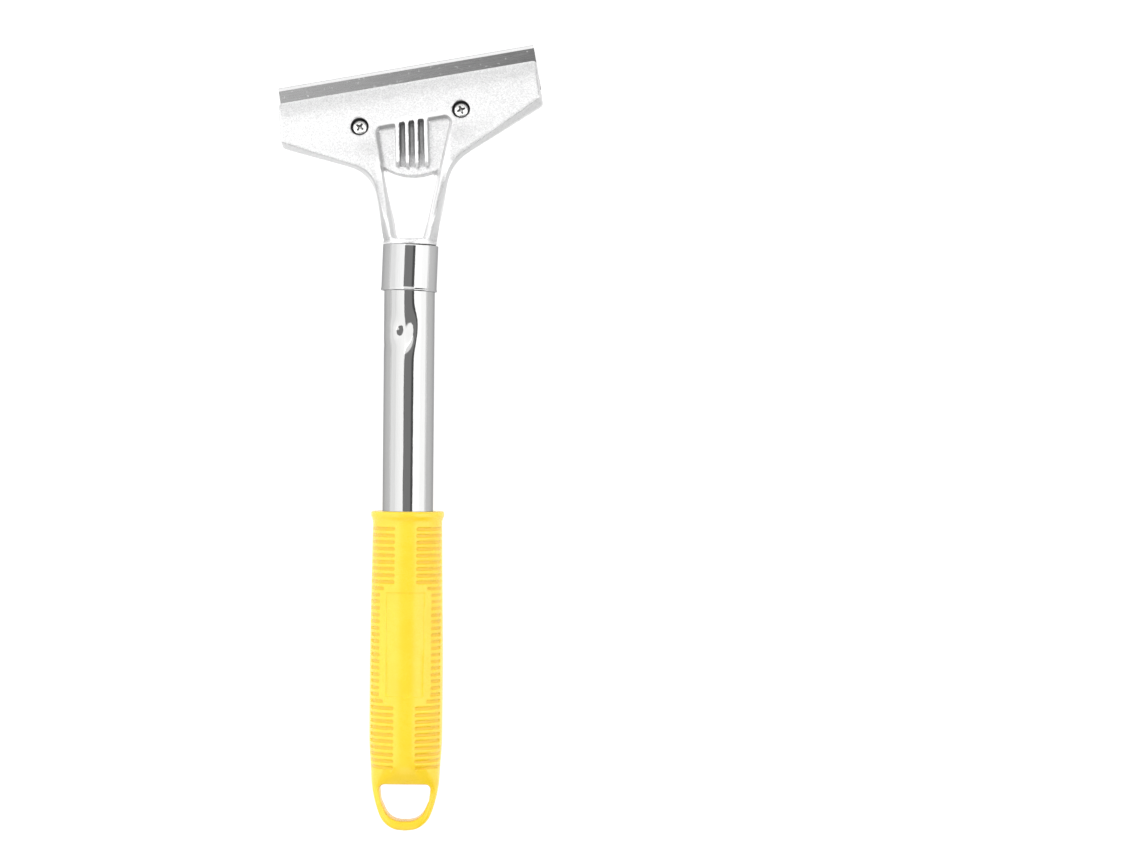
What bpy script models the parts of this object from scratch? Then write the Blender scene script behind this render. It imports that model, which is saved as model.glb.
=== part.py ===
"""Long-handled wall scraper with a clamped, replaceable 100 mm blade.

The tool lies on its back: +Y runs from the hang loop to the blade, +Z points out of
the front face, and Z = 0 is the surface that the tool rests on.

The head is drawn flat in the handle's frame first (x across, y along the handle from
the neck, z towards the front), and its outline is then bent back by HEAD_TILT about
lines parallel to the blade. The blade is skewed by HEAD_SKEW to the handle.
All driving dimensions are in millimetres and degrees.
"""

import math

import bmesh
import bpy
from mathutils import Matrix, Vector

MM = 0.001
GAP = 0.3                      # clearance between pieces that touch

# ---- where the tool stands in its frame ----
NECK_X = 0.91                  # handle axis, from the middle of the footprint
NECK_Y = 72.49                 # top of the neck ferrule, from the middle of the footprint
AXIS_Z = 13.95                 # handle axis above the surface that the tool lies on

# ---- handle tube, ferrule and grip ----
TUBE_R = 9.75
TUBE_WALL = 0.8
TUBE_END = -191.0              # lower end of the tube, inside the grip
FERRULE_R = 10.55
FERRULE_TOP = -0.45              # top of ferrule and tube, under the casting's flange
FERRULE_LENGTH = 17.3
DIMPLE_AT = (-1.4, -33.6)      # x and y of the stake that locks tube and spigot
DIMPLE_RADII = (5.2, 8.0, 5.0)
DIMPLE_LIFT = 3.5              # centre of the stake's ball above the tube's surface
GRIP_TOP = -101.7
GRIP_BORE_END = -191.6
LOOP_TOP = -205.8              # straight upper edge of the hang loop's opening
LOOP_BOTTOM = -219.6
GRIP_END = -223.5
TAB_HALF = 4.7                 # half thickness of the loop

# ---- head ----
HEAD_SKEW = math.radians(10.2)
HEAD_TILT = math.radians(11.0)
HEAD_CENTRE = (0.89, 48.66)    # middle of the blade's length, where v = 0
BEND_FROM = -42.0              # the bend's start and end, measured square to the blade
BEND_TO = -24.0
FRONT_Z = 4.0
BACK_Z = -5.8
ROUND = 0.7
NECK_SWELL = 2.5               # thickness at the neck over thickness at the plate
FLANGE_R = 10.2
SPIGOT_R = 8.6
SPIGOT_END = -46.0
# corners of the casting's outline from the neck's right side: x, y, radius, arc steps
BACK_OUTLINE = ((10.2, 0.9, 0, 0), (14.9, 33.3, 18.0, 9), (50.1, 56.3, 1.2, 3), (47.6, 72.45, 1.3, 3),
                (-51.5, 54.9, 0.9, 3), (-50.3, 39.0, 1.5, 3), (-15.45, 29.35, 15.0, 9), (-10.1, 0.9, 0, 0))
FRONT_OUTLINE = ((8.0, 0.9, 0, 0), (15.0, 31.6, 13.0, 9), (49.2, 57.05, 1.5, 3), (47.5, 72.1, 1.4, 3),
                 (-51.3, 54.55, 0.9, 3), (-50.05, 39.05, 1.4, 3), (-14.6, 27.8, 10.0, 9), (-7.6, 0.9, 0, 0))
TOP_V = 14.87                  # front edge of the casting, from which the blade stands out
SCREWS_UV = ((-21.0, 0.35), (18.4, 0.35))
COUNTERBORE_R = 3.45
COUNTERBORE_Z = 0.3
SCREW_HOLE_R = 2.1
PAD_Z = 0.3                    # floor of the thumb recess
PAD_BACK_Z = -3.2
CHANNEL_Z = -1.2               # floor of the channels between the ribs
SEAT_Z = -1.6                  # the blade's seat
SEAT_V = 3.9
POCKET_Z = -2.5                # floor of the clamp plate's pocket
RIB_X = (-5.5, -1.92, 1.67, 5.3)
RIB_WIDTH = 1.5
RIB_LEAN = math.radians(2.5)
RIB_FOOT_Y = (29.6, 29.2, 29.2, 29.6)

# ---- blade, clamp plate and screws ----
BLADE_LENGTH = 100.0
BLADE_BACK_V = 4.5
BLADE_EDGE_V = 22.7
BLADE_FRONT_Z = SEAT_Z - GAP
BLADE_T = 0.6
BEVEL_V = 1.4
SLOT_U = 23.85
SLOT_V = 12.3
SLOT_LENGTH = 6.6
SLOT_WIDTH = 4.3
PEG_R = 1.8
PEG_TOP_Z = -1.95
PLATE_FRONT_Z = BLADE_FRONT_Z - BLADE_T - GAP
PLATE_BACK_Z = -5.0
PLATE_TOP_V = 13.6
SCREW_HEAD_R = 2.9
SCREW_HEAD_Z = (0.6, 2.8)
SCREW_SHANK_R = 1.75
SCREW_TIP_Z = -5.4
SCREW_TURN = (-44.0, 14.0)     # how the cross recess of each screw stands


# ------------------------------------------------------------------ helpers
def collection(name):
    c = bpy.data.collections.new(name)
    bpy.context.scene.collection.children.link(c)
    return c


def material(name, color, roughness, metallic):
    m = bpy.data.materials.new(name)
    m.use_nodes = True
    p = m.node_tree.nodes["Principled BSDF"]
    p.inputs["Base Color"].default_value = (*color, 1.0)
    p.inputs["Roughness"].default_value = roughness
    p.inputs["Metallic"].default_value = metallic
    m.diffuse_color = (*color, 1.0)
    return m


def new_object(name, mesh, where, parent=None):
    ob = bpy.data.objects.new(name, mesh)
    where.objects.link(ob)
    ob.parent = parent
    return ob


def smooth(mesh, angle=35.0):
    mesh.shade_smooth()
    mesh.set_sharp_from_angle(angle=math.radians(angle))


def as_cutter(ob):
    ob.hide_render = True
    ob.display_type = "WIRE"
    return ob


def boolean(ob, other, operation):
    m = ob.modifiers.new(operation.lower(), "BOOLEAN")
    m.operation = operation
    m.object = other
    m.solver = "EXACT"
    return m


def evaluated_mesh(ob):
    bpy.context.view_layer.update()
    deps = bpy.context.evaluated_depsgraph_get()
    return bpy.data.meshes.new_from_object(ob.evaluated_get(deps))


def from_bmesh(bm, name, where, parent=None, angle=35.0):
    bmesh.ops.recalc_face_normals(bm, faces=bm.faces)
    me = bpy.data.meshes.new(name)
    bm.to_mesh(me)
    bm.free()
    smooth(me, angle)
    return new_object(name, me, where, parent)


def inset(outline, d):
    """The outline (anticlockwise) moved inwards. d is one distance, or one for each side,
    the first for the side from the first corner to the second."""
    n = len(outline)
    ds = list(d) if isinstance(d, (list, tuple)) else [d] * n
    out = []
    for i in range(n):
        p, a, b = Vector(outline[i]), Vector(outline[i - 1]), Vector(outline[(i + 1) % n])
        ea, eb = (p - a).normalized(), (b - p).normalized()
        na, nb = Vector((-ea.y, ea.x)), Vector((-eb.y, eb.x))
        det = na.x * nb.y - na.y * nb.x
        if abs(det) < 0.02:
            m = (na + nb) / 2 * (ds[i - 1] + ds[i]) / 2
        else:
            m = Vector((ds[i - 1] * nb.y - ds[i] * na.y, ds[i] * na.x - ds[i - 1] * nb.x)) / det
        out.append(tuple(p + m))
    return out


def rounded(corners, d=0.0):
    """A closed anticlockwise outline through (x, y, radius, steps) corners, each rounded to
    its radius in so many steps, the whole moved inwards by d."""
    moved, out, n = inset([c[:2] for c in corners], d), [], len(corners)
    shift = d if isinstance(d, (int, float)) else min(d)
    for i, (_, _, r, k) in enumerate(corners):
        p = Vector(moved[i])
        if r <= 0:
            out.append(tuple(p))
            continue
        to_a = (Vector(moved[i - 1]) - p).normalized()
        to_b = (Vector(moved[(i + 1) % n]) - p).normalized()
        convex = to_b.x * to_a.y - to_b.y * to_a.x > 0
        r = max(0.25, r - shift if convex else r + shift)
        half = to_a.angle(to_b) / 2
        c = p + (to_a + to_b).normalized() * (r / math.sin(half))
        s, e = p + to_a * (r / math.tan(half)), p + to_b * (r / math.tan(half))
        a0 = math.atan2(s.y - c.y, s.x - c.x)
        turn = (math.atan2(e.y - c.y, e.x - c.x) - a0 + math.pi) % (2 * math.pi) - math.pi
        out += [(c.x + r * math.cos(a0 + turn * j / k), c.y + r * math.sin(a0 + turn * j / k))
                for j in range(k + 1)]
    return out


def loft(levels):
    """A closed solid through outlines at rising z; all have the same number of points."""
    bm = bmesh.new()
    rings = [[bm.verts.new((x * MM, y * MM, z * MM)) for x, y in pts] for z, pts in levels]
    n = len(rings[0])
    for lo, hi in zip(rings, rings[1:]):
        for i in range(n):
            bm.faces.new((lo[i], lo[(i + 1) % n], hi[(i + 1) % n], hi[i]))
    bm.faces.new(list(reversed(rings[0])))
    bm.faces.new(rings[-1])
    return bm


def prism(name, outline, z0, z1, where, parent=None):
    """A flat outline as a filled 2D curve, extruded, then made a mesh."""
    cu = bpy.data.curves.new(name, "CURVE")
    cu.dimensions, cu.fill_mode = "2D", "BOTH"
    cu.extrude = abs(z1 - z0) / 2 * MM
    sp = cu.splines.new("POLY")
    sp.points.add(len(outline) - 1)
    for p, (x, y) in zip(sp.points, outline):
        p.co = (x * MM, y * MM, 0, 1)
    sp.use_cyclic_u = True
    tmp = new_object(name + "_curve", cu, where)
    tmp.location.z = (z0 + z1) / 2 * MM
    me = evaluated_mesh(tmp)
    me.transform(tmp.matrix_world)
    bpy.data.objects.remove(tmp)
    bm = bmesh.new()
    bm.from_mesh(me)
    bmesh.ops.remove_doubles(bm, verts=bm.verts, dist=1e-6)
    bmesh.ops.dissolve_limit(bm, angle_limit=0.001, verts=bm.verts, edges=bm.edges)
    bm.to_mesh(me)
    bm.free()
    me.name = name
    smooth(me)
    return new_object(name, me, where, parent)


def turned(name, profile, where, parent=None, steps=48, closed=False):
    """A (radius, height) profile turned about the local Z axis. It runs down the outside."""
    me = bpy.data.meshes.new(name)
    n = len(profile)
    edges = [(i, i + 1) for i in range(n - 1)] + ([(n - 1, 0)] if closed else [])
    me.from_pydata([(r * MM, 0, z * MM) for r, z in profile], edges, [])
    ob = new_object(name, me, where, parent)
    m = ob.modifiers.new("turn", "SCREW")
    m.axis, m.angle = "Z", 2 * math.pi
    m.steps = m.render_steps = steps
    m.use_merge_vertices, m.merge_threshold = True, 0.00001
    m.use_smooth_shade = True
    return ob


def along_handle(ob, x=0.0, y=0.0, z=0.0):
    """Lays a turned piece along the handle: its local Z points to the blade."""
    ob.rotation_euler = (-math.pi / 2, 0, 0)
    ob.location = (x * MM, y * MM, z * MM)
    return ob


def ball(name, centre, radii, where, parent, u=28, v=16):
    bm = bmesh.new()
    bmesh.ops.create_uvsphere(bm, u_segments=u, v_segments=v, radius=1.0)
    bmesh.ops.scale(bm, vec=[r * MM for r in radii], verts=bm.verts)
    bmesh.ops.translate(bm, vec=[c * MM for c in centre], verts=bm.verts)
    return from_bmesh(bm, name, where, parent)


def cylinder(name, r, z0, z1, where, parent=None, at=(0, 0), segments=32, r_top=None):
    bm = bmesh.new()
    bmesh.ops.create_cone(bm, cap_ends=True, segments=segments, radius1=r * MM,
                          radius2=(r if r_top is None else r_top) * MM, depth=(z1 - z0) * MM)
    bmesh.ops.translate(bm, vec=(at[0] * MM, at[1] * MM, (z0 + z1) / 2 * MM), verts=bm.verts)
    return from_bmesh(bm, name, where, parent)


# ------------------------------------------------------------------ head frame
def flat(u, v):
    """(u along the blade, v square to it) on the undeveloped head, as handle x and y."""
    c, s = math.cos(HEAD_SKEW), math.sin(HEAD_SKEW)
    return HEAD_CENTRE[0] + u * c - v * s, HEAD_CENTRE[1] + u * s + v * c


def to_uv(x, y):
    c, s = math.cos(HEAD_SKEW), math.sin(HEAD_SKEW)
    x, y = x - HEAD_CENTRE[0], y - HEAD_CENTRE[1]
    return x * c + y * s, -x * s + y * c


def bend(v, z):
    """Bends (v, z) back: nothing up to BEND_FROM, HEAD_TILT from BEND_TO on."""
    if v <= BEND_FROM:
        return v, z
    r = (BEND_TO - BEND_FROM) / HEAD_TILT
    a = min(v - BEND_FROM, BEND_TO - BEND_FROM) / r
    over = max(0.0, v - BEND_TO)
    return (BEND_FROM + r * math.sin(a) + over * math.cos(a) + z * math.sin(a),
            -r * (1 - math.cos(a)) - over * math.sin(a) + z * math.cos(a))


def thickness(y):
    """How much thicker the casting is at y than at its plate."""
    t = min(1.0, max(0.0, y / 25.0))
    t = t * t * (3 - 2 * t)
    return NECK_SWELL + (1 - NECK_SWELL) * t


def girth(y):
    """Radius about the handle axis that the legs stay inside, so that they meet the neck."""
    return FLANGE_R + 0.14 * max(0.0, y - 1.0) + 0.014 * max(0.0, y - 1.0) ** 2


def crown(v):
    """Fall of the front face away from its highest line."""
    return -0.0085 * (v - 6.0) ** 2 if v > 6.0 else -0.0016 * (v - 6.0) ** 2


def shape_head(x, y, z):
    """A point of the flat casting, carried to its real place in the handle's frame."""
    u, v = to_uv(x, y)
    if z > 1.5:
        z += crown(v) * (z - 1.5) / (FRONT_Z - 1.5) * min(1.0, max(0.0, (y - 20.0) / 12.0))
    z *= thickness(y)
    if y < 30.0:
        r, reach = girth(y), (FRONT_Z if z > 0 else -BACK_Z) * thickness(y)
        z *= min(1.0, max(2.0, math.sqrt(max(0.0, r * r - x * x))) / reach)
    v, z = bend(v, z)
    return *flat(u, v), z


# ------------------------------------------------------------------ head outlines
def meet(p, q, r, s):
    """Where line pq meets line rs."""
    p, q, r, s = map(Vector, (p, q, r, s))
    d, e = q - p, s - r
    t = ((r - p).x * e.y - (r - p).y * e.x) / (d.x * e.y - d.y * e.x)
    return p + d * t


def opening(left, right, low, top, d=0.0):
    """The corners of an opening between four lines, each given by two points."""
    return rounded([(*meet(*left, *low), 1.9, 5), (*meet(*right, *low), 1.9, 5),
                    (*meet(*right, *top), 1.9, 5), (*meet(*left, *top), 1.5, 5)], d)


RECESS_TOP = (-0.85, 0.35)     # v of the recess's far side at the front face and at the pad


def window_at(z, d=0.0):
    """The opening between the legs, narrowing from the front face to the back."""
    t = (FRONT_Z - z) / (FRONT_Z - BACK_Z)

    def mix(front, back):
        return tuple(tuple(p + (q - p) * t for p, q in zip(a, b)) for a, b in zip(front, back))

    return opening(mix(((-7.1, 4.0), (-13.8, 44.0)), ((-5.6, 4.0), (-13.6, 44.0))),
                   mix(((7.2, 4.0), (15.6, 47.0)), ((4.6, 4.0), (13.6, 47.0))),
                   mix(((-5, 2.1), (5, 2.1)), ((-5, 2.9), (5, 2.9))), (flat(-20, -0.9), flat(20, -0.9)), d)


def recess_at(z):
    """The thumb recess's outline at z: steep walls at the sides, a steeper one at the top."""
    k = (FRONT_Z - z) / (FRONT_Z - PAD_Z)
    return opening(((-7.1, 4.0), (-13.8, 44.0)), ((7.2, 4.0), (15.6, 47.0)), ((-5, 2.1), (5, 2.1)),
                   (flat(-20, -0.9), flat(20, -0.9)), (0, 1.05 * k, 0.3 * k, 1.05 * k))


def tongue_line(steps=14):
    """The thumb pad's lower edge, an arc from leg to leg."""
    c, r = (0.7, 47.4), 20.7
    return [(c[0] + r * math.cos(a), c[1] + r * math.sin(a))
            for a in (math.radians(205 + (338 - 205) * i / steps) for i in range(steps + 1))]


def plate_outline(d=0.0):
    """The clamp plate's outline in (u, v), moved in by d."""
    return rounded([
        (-26.0, -6.3, 2.0, 3), (26.0, -6.3, 2.0, 3), (48.9, 4.5, 1.5, 3), (49.7, PLATE_TOP_V, 0.6, 2),
        (-49.7, PLATE_TOP_V, 0.6, 2), (-48.9, 4.5, 1.5, 3),
    ], d)


# ------------------------------------------------------------------ casting
def rib_section(i, z, low, grow=0.0):
    """Rib i's outline at z; it leans a little to the side towards its foot."""
    top = flat(RIB_X[i], 0.8)[1]
    foot_x = RIB_X[i] + (top - low) * math.tan(RIB_LEAN)
    w = RIB_WIDTH / 2 + (FRONT_Z - z) * 0.04 + grow
    return [(foot_x - w * 0.45, low), (foot_x + w * 0.45, low), (foot_x + w, low + 0.5), (RIB_X[i] + w, top),
            (RIB_X[i] - w, top), (foot_x - w, low + 0.5)]


def channel_section(i, low, narrow):
    """The outline of the channel between ribs i and i + 1."""
    w = RIB_WIDTH / 2 - 0.15 + narrow
    left, right = RIB_X[i] + w, RIB_X[i + 1] - w
    top_l, top_r = flat(left, -0.55 - narrow)[1], flat(right, -0.55 - narrow)[1]
    drift = (top_l - low) * math.tan(RIB_LEAN)
    return [(left + drift, low), (right + drift, low), (right, top_r), (left, top_l)]


def make_casting(parts, cutters, root):
    blank = from_bmesh(loft([
        (BACK_Z, rounded(BACK_OUTLINE)), (FRONT_Z - ROUND, rounded(FRONT_OUTLINE, -0.1)),
        (FRONT_Z - ROUND * 0.35, rounded(FRONT_OUTLINE, 0.1)), (FRONT_Z, rounded(FRONT_OUTLINE, ROUND)),
    ]), "casting_blank", cutters)

    recess = from_bmesh(loft([(PAD_Z, recess_at(PAD_Z)), (12.0, recess_at(12.0))]), "cut_recess", cutters)
    arc = tongue_line()
    under = [(-30, 1.0), (30, 1.0), (30, arc[-1][1])] + arc[::-1] + [(-30, arc[0][1])]
    below = from_bmesh(loft([(-20, under), (20, under)]), "cut_below_pad", cutters)
    shaft = from_bmesh(loft([(-9, window_at(-9)), (7, window_at(7))]), "cut_window", cutters)
    boolean(shaft, below, "INTERSECT")
    hollow = [(-9.2, 24.8), (8.0, 24.8), (11.5, 41.5), (-12.2, 41.5)]
    behind = from_bmesh(loft([(-20, hollow), (PAD_BACK_Z, inset(hollow, 0.5))]), "cut_behind_pad", cutters)

    seat_pts = [flat(*p) for p in ((-60, SEAT_V), (60, SEAT_V), (60, 30), (-60, 30))]
    seat = from_bmesh(loft([(-20, seat_pts), (SEAT_Z, seat_pts)]), "cut_blade_seat", cutters)
    pocket_pts = [flat(u, v) for u, v in ((-27.0, -6.9), (27.0, -6.9), (49.0, 2.6), (49.0, 7.0), (-49.0, 7.0), (-49.0, 2.6))]
    pocket = from_bmesh(loft([(-20, pocket_pts), (POCKET_Z, pocket_pts)]), "cut_plate_pocket", cutters)
    for c in (recess, shaft, behind, seat, pocket):
        boolean(blank, c, "DIFFERENCE")
    for uv in SCREWS_UV:
        at = flat(*uv)
        boolean(blank, cylinder("cut_counterbore", COUNTERBORE_R, COUNTERBORE_Z, 12, cutters, at=at), "DIFFERENCE")
        boolean(blank, cylinder("cut_screw_hole", SCREW_HOLE_R, -12, 12, cutters, at=at, segments=24), "DIFFERENCE")
    for i, low in enumerate(RIB_FOOT_Y):
        rib = from_bmesh(loft([(PAD_Z - 0.4, rib_section(i, PAD_Z, low)), (PAD_Z + 1.6, rib_section(i, PAD_Z + 1.6, low + 0.6)),
                               (FRONT_Z - 0.02, rib_section(i, FRONT_Z, low + 1.7))]), "add_rib", cutters)
        boolean(blank, rib, "UNION")
    for i in range(3):
        channel = from_bmesh(loft([(CHANNEL_Z, channel_section(i, 32.0, 0.2)), (PAD_Z + 0.2, channel_section(i, 30.2, 0.0)),
                                   (PAD_Z + 3.4, channel_section(i, 30.2, 0.0))]), "cut_channel", cutters)
        boolean(blank, channel, "DIFFERENCE")

    bm = bmesh.new()
    bm.from_mesh(evaluated_mesh(blank))
    bmesh.ops.remove_doubles(bm, verts=bm.verts, dist=2e-6)
    bmesh.ops.dissolve_limit(bm, angle_limit=0.002, verts=bm.verts, edges=bm.edges)

    def cut(co, no):
        bmesh.ops.bisect_plane(bm, geom=bm.verts[:] + bm.edges[:] + bm.faces[:], dist=1e-7, plane_co=co, plane_no=no)

    for y in (1.6, 2.4, 4.0, 6.0, 8.0, 10.5, 13.0, 16.0, 19.0, 22.0, 25.0):
        cut((0, y * MM, 0), (0, 1, 0))
    for x in (-9.2, -6.4, -3.3, 0.1, 3.4, 6.5, 9.3):
        neck = [f for f in bm.faces if max(v.co.y for v in f.verts) < 8.1 * MM]
        near = set(neck) | {e for f in neck for e in f.edges} | {v for f in neck for v in f.verts}
        bmesh.ops.bisect_plane(bm, geom=list(near), dist=1e-6, plane_co=(x * MM, 0, 0), plane_no=(1, 0, 0))
    across = (-math.sin(HEAD_SKEW), math.cos(HEAD_SKEW), 0)
    for v in (-39.0, -36.0, -33.0, -30.0, -27.0, BEND_TO, -16.0, -8.0, -1.5, 6.0, 9.0, 12.0):
        x, y = flat(0, v)
        cut((x * MM, y * MM, 0), across)
    for vert in bm.verts:
        vert.co = Vector(shape_head(*(c / MM for c in vert.co))) * MM
    bmesh.ops.triangulate(bm, faces=[f for f in bm.faces if len(f.verts) > 3])
    ob = from_bmesh(bm, "head_casting", parts, root, 30.0)

    neck = turned("add_neck", [(0, 1.5), (FLANGE_R - 0.25, 1.5), (FLANGE_R, 1.2), (FLANGE_R, FERRULE_TOP + GAP), (SPIGOT_R, FERRULE_TOP + GAP),
                               (SPIGOT_R, SPIGOT_END + 1.0), (SPIGOT_R - 1.0, SPIGOT_END), (0, SPIGOT_END)],
                  cutters, root)
    along_handle(neck)
    boolean(neck, ball("cut_stake_pocket", (DIMPLE_AT[0], DIMPLE_AT[1], TUBE_R + DIMPLE_LIFT),
                       [r + TUBE_WALL + GAP + 0.1 for r in DIMPLE_RADII], cutters, root), "DIFFERENCE")
    boolean(ob, neck, "UNION")
    return ob


# ------------------------------------------------------------------ handle
def make_handle(parts, cutters, root):
    # The ferrule is turned over its lower lip, and the tube stands inside it.
    inner, top, end = TUBE_R + GAP, FERRULE_TOP, FERRULE_TOP - FERRULE_LENGTH
    ferrule = turned("neck_ferrule", [
        (inner, top), (FERRULE_R - 0.35, top), (FERRULE_R, top - 0.35), (FERRULE_R, end + 0.35),
        (FERRULE_R - 0.35, end), (inner, end)], parts, root, 56, True)
    along_handle(ferrule)

    bore = TUBE_R - TUBE_WALL
    tube = turned("handle_tube", [(bore, FERRULE_TOP), (TUBE_R, FERRULE_TOP), (TUBE_R, TUBE_END), (bore, TUBE_END)],
                  parts, root, 56, True)
    along_handle(tube)
    at = (DIMPLE_AT[0], DIMPLE_AT[1], TUBE_R + DIMPLE_LIFT)
    wall = ball("add_stake_wall", at, [r + TUBE_WALL for r in DIMPLE_RADII], cutters, root)
    inside = turned("keep_inside_tube", [(0, -14.0), (TUBE_R - 0.2, -14.0), (TUBE_R - 0.2, -60.0), (0, -60.0)], cutters, root, 56)
    along_handle(inside)
    boolean(wall, inside, "INTERSECT")
    boolean(tube, wall, "UNION")
    boolean(tube, ball("cut_stake", at, DIMPLE_RADII, cutters, root), "DIFFERENCE")
    return ferrule, tube


def grip_section(y):
    """Half width, half thickness and squareness of the grip at y."""
    table = [
        (-101.7, 13.2, 13.2, 2.0), (-102.3, 13.85, 13.85, 2.0), (-103.6, 13.95, 13.95, 2.0),
        (-104.9, 13.5, 13.5, 2.0), (-106.4, 13.15, 13.15, 2.0), (-127.0, 13.5, 13.5, 2.0),
        (-146.0, 13.8, 13.8, 2.0), (-160.0, 13.95, 13.95, 2.0), (-188.0, 13.9, 13.9, 2.0),
        (-194.0, 13.6, 13.6, 2.0), (-198.0, 13.3, 12.9, 2.05), (-200.5, 13.15, 11.7, 2.15),
        (-203.0, 13.05, 9.9, 2.3), (-204.6, 12.95, 8.2, 2.5), (-205.8, 12.85, 6.6, 2.8),
    ]
    for (y0, *a), (y1, *b) in zip(table, table[1:]):
        if y1 <= y <= y0:
            t = (y0 - y) / (y0 - y1)
            return [p + (q - p) * t for p, q in zip(a, b)]
    return table[-1][1:]


def loop_outline():
    """Outer edge of the hang loop, anticlockwise."""
    half = ((13.0, -201.0), (13.0, -203.0), (12.75, -206.0), (12.3, -209.0), (11.6, -212.0), (10.75, -215.0), (9.8, -217.6),
            (8.8, -219.4), (7.5, -220.9), (5.8, -222.2), (3.8, -223.1), (1.6, -223.45))
    return [(-x, y) for x, y in half] + [(x, y) for x, y in reversed(half)]


def loop_hole():
    """Edge of the hang loop's opening, straight at the top."""
    return rounded([(-9.9, LOOP_TOP, 1.8, 4), (-9.2, -212.0, 6.0, 2), (-5.6, LOOP_BOTTOM - 0.1, 7.0, 4),
                    (5.6, LOOP_BOTTOM - 0.1, 7.0, 4), (9.2, -212.0, 6.0, 2), (9.9, LOOP_TOP, 1.8, 4)])


def make_grip(parts, cutters, root, around=44):
    ys = [-101.7, -102.3, -103.6, -104.9, -106.4, -116.0, -127.0, -146.0, -160.0, -188.0, -194.0, -198.0,
          -200.5, -203.0, -204.6, -205.8]
    levels = []
    for y in ys:
        a, b, n = grip_section(y)
        ring = []
        for i in range(around):
            t = 2 * math.pi * i / around
            c, s = math.cos(t), math.sin(t)
            ring.append((a * math.copysign(abs(c) ** (2 / n), c), b * math.copysign(abs(s) ** (2 / n), s)))
        levels.append((-y, ring))
    bm = loft(levels)
    # the loft rises along Z; lay it along the handle, loop end away from the blade
    bmesh.ops.rotate(bm, cent=(0, 0, 0), matrix=Matrix.Rotation(math.pi / 2, 3, "X"), verts=bm.verts)
    grip = from_bmesh(bm, "grip_sleeve", parts, root, 40.0)

    rim = loop_outline()
    tab = from_bmesh(loft([
        (-TAB_HALF, inset(rim, 1.3)), (-TAB_HALF + 0.45, inset(rim, 0.45)), (-TAB_HALF + 1.4, rim),
        (TAB_HALF - 1.4, rim), (TAB_HALF - 0.45, inset(rim, 0.45)), (TAB_HALF, inset(rim, 1.3))]),
        "add_loop", cutters, root)
    boolean(grip, tab, "UNION")
    hole = loop_hole()
    cut = from_bmesh(loft([(-20, hole), (20, hole)]), "cut_loop", cutters, root)
    boolean(grip, cut, "DIFFERENCE")
    bore = turned("cut_grip_bore", [(0, -90.0), (TUBE_R + GAP, -90.0), (TUBE_R + GAP, GRIP_BORE_END), (0, GRIP_BORE_END)],
                  cutters, root, 56)
    along_handle(bore)
    boolean(grip, bore, "DIFFERENCE")
    return grip


# ------------------------------------------------------------------ blade, plate, screws
def make_blade(parts, cutters, head):
    zf, zb = BLADE_FRONT_Z, BLADE_FRONT_Z - BLADE_T
    edge = BLADE_EDGE_V
    section = [(BLADE_BACK_V, zb), (edge - 0.5, zb), (edge, zb + 0.12), (edge, zb + 0.18), (edge - BEVEL_V, zf), (BLADE_BACK_V, zf)]
    half = BLADE_LENGTH / 2
    bm = bmesh.new()
    face = bm.faces.new([bm.verts.new((-half * MM, v * MM, z * MM)) for v, z in section])
    side = bmesh.ops.extrude_face_region(bm, geom=[face])
    bmesh.ops.translate(bm, vec=(BLADE_LENGTH * MM, 0, 0), verts=[g for g in side["geom"] if isinstance(g, bmesh.types.BMVert)])
    blade = from_bmesh(bm, "scraper_blade", parts, head)
    r = SLOT_WIDTH / 2
    for s in (-1, 1):
        pts = rounded([(s * SLOT_U + x * SLOT_LENGTH / 2, SLOT_V + y * r, 1.2, 3) for x, y in ((-1, -1), (1, -1), (1, 1), (-1, 1))])
        boolean(blade, as_cutter(prism("cut_slot", pts, -8, 4, cutters, head)), "DIFFERENCE")
    return blade


def make_plate(parts, cutters, head):
    plate = from_bmesh(loft([(PLATE_BACK_Z, plate_outline(0.6)), (PLATE_BACK_Z + 0.6, plate_outline()),
                             (PLATE_FRONT_Z, plate_outline())]), "clamp_plate", parts, head)
    for s in (-1, 1):
        boolean(plate, cylinder("add_peg", PEG_R, PLATE_FRONT_Z - 0.8, PEG_TOP_Z, cutters, head, (s * SLOT_U, SLOT_V), 24, PEG_R - 0.15), "UNION")
    for uv in SCREWS_UV:
        boolean(plate, cylinder("cut_tapped_hole", SCREW_SHANK_R + GAP, -12, 0, cutters, head, uv, 24), "DIFFERENCE")
    return plate


def make_screw(name, uv, turn, parts, cutters, head):
    z0, z1 = SCREW_HEAD_Z
    ob = turned(name, [
        (0, z1), (SCREW_HEAD_R - 1.0, z1 - 0.1), (SCREW_HEAD_R - 0.25, z1 - 0.5), (SCREW_HEAD_R, z1 - 1.1), (SCREW_HEAD_R, z0),
        (SCREW_SHANK_R, z0), (SCREW_SHANK_R, SCREW_TIP_Z + 0.4), (SCREW_SHANK_R - 0.4, SCREW_TIP_Z), (0, SCREW_TIP_Z)], parts, head, 32)
    ob.location = (uv[0] * MM, uv[1] * MM, 0)
    for k in (0, 1):
        pts = [(-1.75, -0.5), (1.75, -0.5), (1.75, 0.5), (-1.75, 0.5)]
        tip = [(x * 0.45, y * 0.8) for x, y in pts]
        arm = from_bmesh(loft([(z1 - 1.5, tip), (z1 + 0.3, [(x * 1.05, y * 1.05) for x, y in pts])]), "cut_cross", cutters, head)
        arm.location = ob.location
        arm.rotation_euler.z = math.radians(turn) + k * math.pi / 2
        boolean(ob, arm, "DIFFERENCE")
    return ob


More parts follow.
